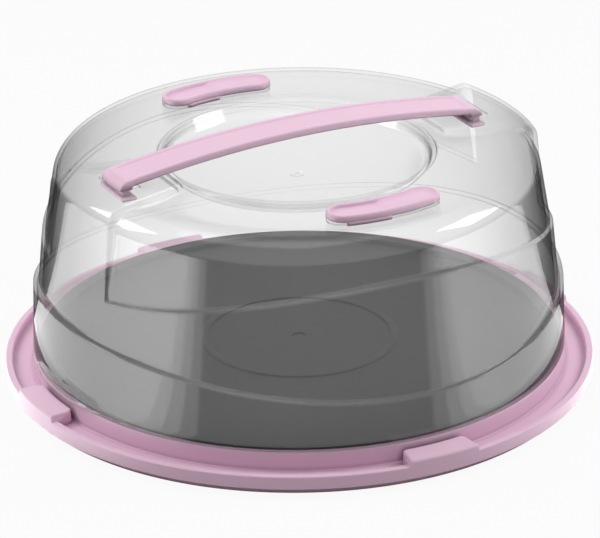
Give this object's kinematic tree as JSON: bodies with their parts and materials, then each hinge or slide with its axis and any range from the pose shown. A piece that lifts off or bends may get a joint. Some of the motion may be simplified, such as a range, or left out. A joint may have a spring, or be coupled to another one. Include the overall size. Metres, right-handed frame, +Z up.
{
  "type": "cake carrier",
  "caption": "Round cake carrier: a tray, a lift-out cake plate and a clear stepped dome with a flat carry strap and two foot pads on top.",
  "frame": {"origin": "centre of the tray's foot ring, at table height", "axes": "+Z up; the carry strap runs along X; the foot pads lie on the Y axis"},
  "size_m": [0.35, 0.35, 0.1566],
  "materials": {
    "pink_plastic": "satin",
    "grey_plastic": "matte",
    "clear_plastic": "clear gloss"
  },
  "bodies": {
    "tray": {"base_tray": "pink_plastic"},
    "plate": {"cake_plate": "grey_plastic"},
    "dome": {"dome": "clear_plastic", "front_pad": "pink_plastic", "back_pad": "pink_plastic"},
    "strap": {"carry_strap": "pink_plastic"}
  },
  "joints": [
    {"name": "dome_lift", "type": "slide", "parent": "tray", "child": "dome", "axis": [0, 0, 1], "range_m": [0, 0.16]},
    {"name": "plate_lift", "type": "slide", "parent": "tray", "child": "plate", "axis": [0, 0, 1], "range_m": [0, 0.018]},
    {"name": "strap_lift", "type": "slide", "parent": "dome", "child": "strap", "axis": [0, 0, 1], "range_m": [0, 0.002]}
  ]
}
